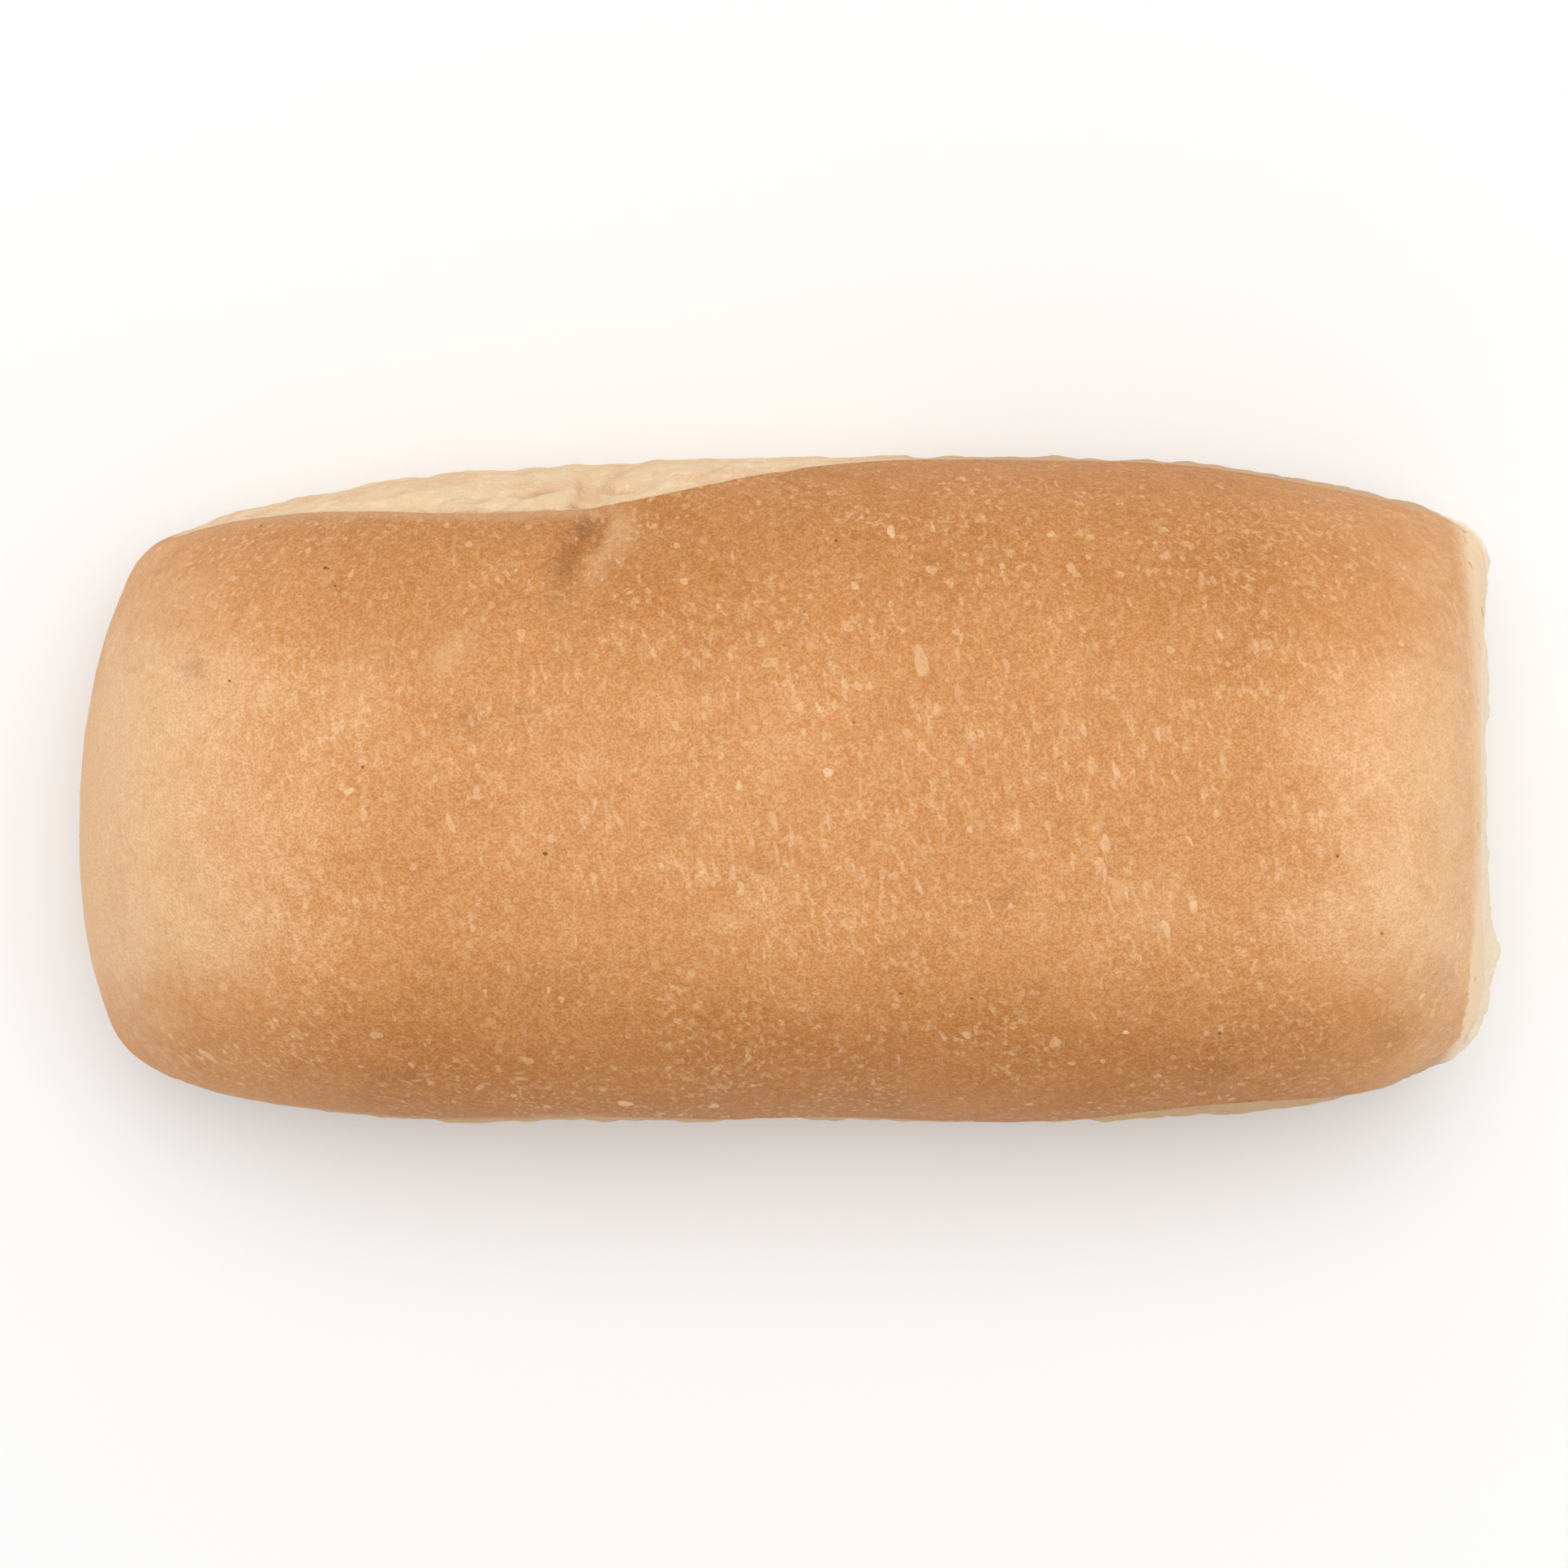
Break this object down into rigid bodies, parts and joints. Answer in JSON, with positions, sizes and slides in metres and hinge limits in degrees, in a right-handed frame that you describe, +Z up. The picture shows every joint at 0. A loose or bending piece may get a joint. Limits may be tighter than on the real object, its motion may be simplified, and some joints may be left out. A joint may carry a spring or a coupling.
{
  "type": "bread roll",
  "caption": "Oblong soft bread roll from a batch: browned domed cap over pale torn sides, one crusted round end, one torn end, flat base.",
  "frame": {"origin": "centre of the box's footprint, on the surface that the roll rests on", "axes": "+X along the roll towards its torn end, +Y across it towards the side whose pale wall shows most, +Z up"},
  "size_m": [0.1396, 0.0666, 0.0471],
  "materials": {
    "crust": "matte"
  },
  "bodies": {
    "root": {"roll": "crust"}
  },
  "joints": []
}
